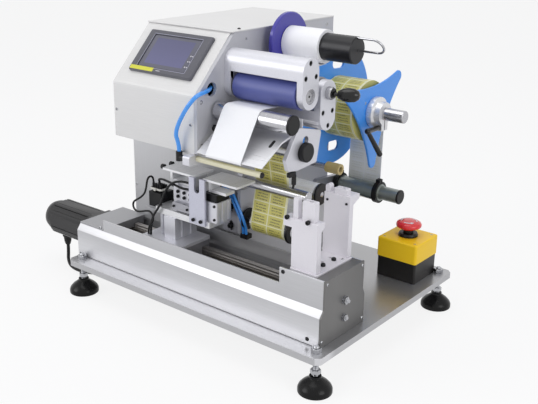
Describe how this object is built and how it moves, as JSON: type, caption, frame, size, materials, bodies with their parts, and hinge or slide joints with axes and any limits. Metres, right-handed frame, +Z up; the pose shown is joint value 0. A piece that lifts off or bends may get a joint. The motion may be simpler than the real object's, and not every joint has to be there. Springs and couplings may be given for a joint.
{
  "type": "cable flag labeling machine",
  "caption": "Bench-top machine that feeds flag labels from a reel over rollers to a peel plate and folds them round a cable held in slotted towers.",
  "frame": {"origin": "middle of the footprint at floor level, under the four feet", "axes": "+X along the front channel from the motor to the cable towers, +Y from the front to the back, +Z up"},
  "size_m": [0.654, 0.432, 0.4715],
  "materials": {
    "base_plate": "ground steel plate",
    "foot_pads": "black moulded plastic",
    "foot_studs": "zinc plated",
    "channel_shell": "light grey powder coat",
    "channel_covers": "light grey powder coat",
    "motor_body": "black satin",
    "cable_glands": "black nylon",
    "motor_cable": "black cable jacket",
    "drive_base": "dark anodised extrusion",
    "drive_rails": "ground rail",
    "cable_towers": "clear anodised",
    "tower_jaws": "clear anodised",
    "cabinet_head": "light grey powder coat",
    "cabinet_lid": "light grey powder coat",
    "cabinet_lower": "light grey powder coat",
    "side_plate": "clear anodised plate",
    "tube_fittings": "black nylon",
    "support_plates": "clear anodised plate",
    "panel_bezel": "dark grey moulding",
    "panel_screen": "touch screen",
    "roller_brackets": "clear anodised",
    "fixed_shafts": "ground shafts",
    "peel_table": "bright bent sheet",
    "peel_side_plate": "clear anodised plate",
    "air_bar": "cream plastic",
    "label_web": "yellow label stock",
    "liner_web": "white backing paper",
    "stop_box_base": "black moulding",
    "stop_box_cover": "yellow moulding",
    "air_tube": "blue polyurethane tube",
    "vacuum_tube_1": "blue polyurethane tube",
    "vacuum_tube_2": "blue polyurethane tube",
    "ball_screw": "ground steel",
    "station_slider": "dark anodised",
    "station_stand": "clear anodised",
    "deck_plate": "clear anodised",
    "slot_plate": "clear anodised",
    "clamp_cylinders": "anodised cylinders",
    "connector_block": "black plastic",
    "sensor_cable": "black cable",
    "fold_plate_left": "satin anodised",
    "fold_plate_right": "satin anodised",
    "drive_roller": "blue covered roller",
    "nip_roller": "grey covered roller",
    "upper_idler": "polished roller",
    "lower_idler": "polished roller",
    "front_roller": "polished roller",
    "rear_roller": "polished roller",
    "guide_roller": "anodised tube",
    "small_roller": "tan plastic",
    "rewind_mandrel": "black anodised",
    "liner_roll": "wound backing paper",
    "liner_pin": "spring wire",
    "reel_shaft": "bright shaft",
    "label_roll": "wound label stock",
    "reel_star": "blue anodised",
    "reel_lever": "black lever",
    "nip_lever": "black knob",
    "stop_stem": "black stem",
    "stop_button": "red mushroom button"
  },
  "bodies": {
    "frame": {"base_plate": "base_plate", "foot_pads": "foot_pads", "foot_studs": "foot_studs", "channel_shell": "channel_shell", "channel_covers": "channel_covers", "motor_body": "motor_body", "cable_glands": "cable_glands", "motor_cable": "motor_cable", "drive_base": "drive_base", "drive_rails": "drive_rails", "cable_towers": "cable_towers", "tower_jaws": "tower_jaws", "cabinet_head": "cabinet_head", "cabinet_lid": "cabinet_lid", "cabinet_lower": "cabinet_lower", "side_plate": "side_plate", "tube_fittings": "tube_fittings", "support_plates": "support_plates", "panel_bezel": "panel_bezel", "panel_screen": "panel_screen", "roller_brackets": "roller_brackets", "fixed_shafts": "fixed_shafts", "peel_table": "peel_table", "peel_side_plate": "peel_side_plate", "air_bar": "air_bar", "label_web": "label_web", "liner_web": "liner_web", "stop_box_base": "stop_box_base", "stop_box_cover": "stop_box_cover", "air_tube": "air_tube", "vacuum_tube_1": "vacuum_tube_1", "vacuum_tube_2": "vacuum_tube_2"},
    "screw": {"ball_screw": "ball_screw"},
    "station": {"station_slider": "station_slider", "station_stand": "station_stand", "deck_plate": "deck_plate", "slot_plate": "slot_plate", "clamp_cylinders": "clamp_cylinders", "connector_block": "connector_block", "sensor_cable": "sensor_cable"},
    "left_plate": {"fold_plate_left": "fold_plate_left"},
    "right_plate": {"fold_plate_right": "fold_plate_right"},
    "drive_roller": {"drive_roller": "drive_roller"},
    "nip_roller": {"nip_roller": "nip_roller"},
    "upper_idler": {"upper_idler": "upper_idler"},
    "lower_idler": {"lower_idler": "lower_idler"},
    "front_roller": {"front_roller": "front_roller"},
    "rear_roller": {"rear_roller": "rear_roller"},
    "guide_roller": {"guide_roller": "guide_roller"},
    "small_roller": {"small_roller": "small_roller"},
    "rewinder": {"rewind_mandrel": "rewind_mandrel", "liner_roll": "liner_roll"},
    "liner_pin": {"liner_pin": "liner_pin"},
    "reel": {"reel_shaft": "reel_shaft", "label_roll": "label_roll"},
    "reel_star": {"reel_star": "reel_star"},
    "reel_lever": {"reel_lever": "reel_lever"},
    "nip_lever": {"nip_lever": "nip_lever"},
    "stop_stem": {"stop_stem": "stop_stem"},
    "stop_button": {"stop_button": "stop_button"}
  },
  "joints": [
    {"name": "station_slide", "type": "slide", "parent": "frame", "child": "station", "axis": [1, 0, 0], "range_m": [0, 0.202]},
    {"name": "screw_spin", "type": "hinge", "parent": "frame", "child": "screw", "pos_m": [-0.191, -0.13, 0.087], "axis": [1, 0, 0], "range_deg": [0, 3640]},
    {"name": "left_plate_slide", "type": "slide", "parent": "station", "child": "left_plate", "axis": [1, 0, 0], "range_m": [0, 0.0075]},
    {"name": "right_plate_slide", "type": "slide", "parent": "station", "child": "right_plate", "axis": [-1, 0, 0], "range_m": [0, 0.0075]},
    {"name": "drive_roller_spin", "type": "hinge", "parent": "frame", "child": "drive_roller", "pos_m": [-0.191, -0.1145, 0.379], "axis": [1, 0, 0], "continuous": true},
    {"name": "nip_roller_spin", "type": "hinge", "parent": "frame", "child": "nip_roller", "pos_m": [-0.191, -0.0731, 0.378], "axis": [1, 0, 0], "continuous": true},
    {"name": "upper_idler_spin", "type": "hinge", "parent": "frame", "child": "upper_idler", "pos_m": [-0.191, -0.1486, 0.3462], "axis": [1, 0, 0], "continuous": true},
    {"name": "lower_idler_spin", "type": "hinge", "parent": "frame", "child": "lower_idler", "pos_m": [-0.191, -0.112, 0.301], "axis": [1, 0, 0], "continuous": true},
    {"name": "front_roller_spin", "type": "hinge", "parent": "frame", "child": "front_roller", "pos_m": [-0.191, -0.083, 0.166], "axis": [1, 0, 0], "continuous": true},
    {"name": "rear_roller_spin", "type": "hinge", "parent": "frame", "child": "rear_roller", "pos_m": [-0.191, -0.014, 0.206], "axis": [1, 0, 0], "continuous": true},
    {"name": "guide_roller_spin", "type": "hinge", "parent": "frame", "child": "guide_roller", "pos_m": [-0.191, 0.151, 0.168], "axis": [1, 0, 0], "continuous": true},
    {"name": "small_roller_spin", "type": "hinge", "parent": "frame", "child": "small_roller", "pos_m": [-0.191, 0.04, 0.232], "axis": [1, 0, 0], "continuous": true},
    {"name": "rewinder_spin", "type": "hinge", "parent": "frame", "child": "rewinder", "pos_m": [-0.191, -0.007, 0.4275], "axis": [1, 0, 0], "continuous": true},
    {"name": "reel_spin", "type": "hinge", "parent": "frame", "child": "reel", "pos_m": [-0.191, 0.118, 0.311], "axis": [1, 0, 0], "continuous": true},
    {"name": "liner_pin_pull", "type": "slide", "parent": "rewinder", "child": "liner_pin", "axis": [1, 0, 0], "range_m": [0, 0.115]},
    {"name": "reel_star_slide", "type": "slide", "parent": "reel", "child": "reel_star", "axis": [1, 0, 0], "range_m": [0, 0.06]},
    {"name": "reel_lever_turn", "type": "hinge", "parent": "reel_star", "child": "reel_lever", "pos_m": [0.199, 0.118, 0.29], "axis": [0, 1, 0], "range_deg": [-85, 0]},
    {"name": "nip_lever_turn", "type": "hinge", "parent": "frame", "child": "nip_lever", "pos_m": [0.2254, -0.0731, 0.378], "axis": [1, 0, 0], "range_deg": [-30, 60]},
    {"name": "stop_button_push", "type": "slide", "parent": "frame", "child": "stop_stem", "axis": [0, 0, -1], "range_m": [0, 0.005]},
    {"name": "stop_button_twist", "type": "hinge", "parent": "stop_stem", "child": "stop_button", "pos_m": [0.2635, 0.1095, 0.14], "axis": [0, 0, 1], "range_deg": [-45, 0]}
  ],
  "couplings": [
    {"joint": "screw_spin", "follows": "station_slide", "rad_per_m": 314.16},
    {"joint": "right_plate_slide", "follows": "left_plate_slide", "ratio": 1},
    {"joint": "nip_roller_spin", "follows": "drive_roller_spin", "ratio": -1},
    {"joint": "upper_idler_spin", "follows": "drive_roller_spin", "ratio": -1.5147},
    {"joint": "lower_idler_spin", "follows": "drive_roller_spin", "ratio": 1.6349},
    {"joint": "front_roller_spin", "follows": "drive_roller_spin", "ratio": -1.3205},
    {"joint": "rear_roller_spin", "follows": "drive_roller_spin", "ratio": 1.3205},
    {"joint": "guide_roller_spin", "follows": "drive_roller_spin", "ratio": -1.411},
    {"joint": "rewinder_spin", "follows": "drive_roller_spin", "ratio": 0.82731},
    {"joint": "reel_spin", "follows": "drive_roller_spin", "ratio": -0.41532}
  ]
}
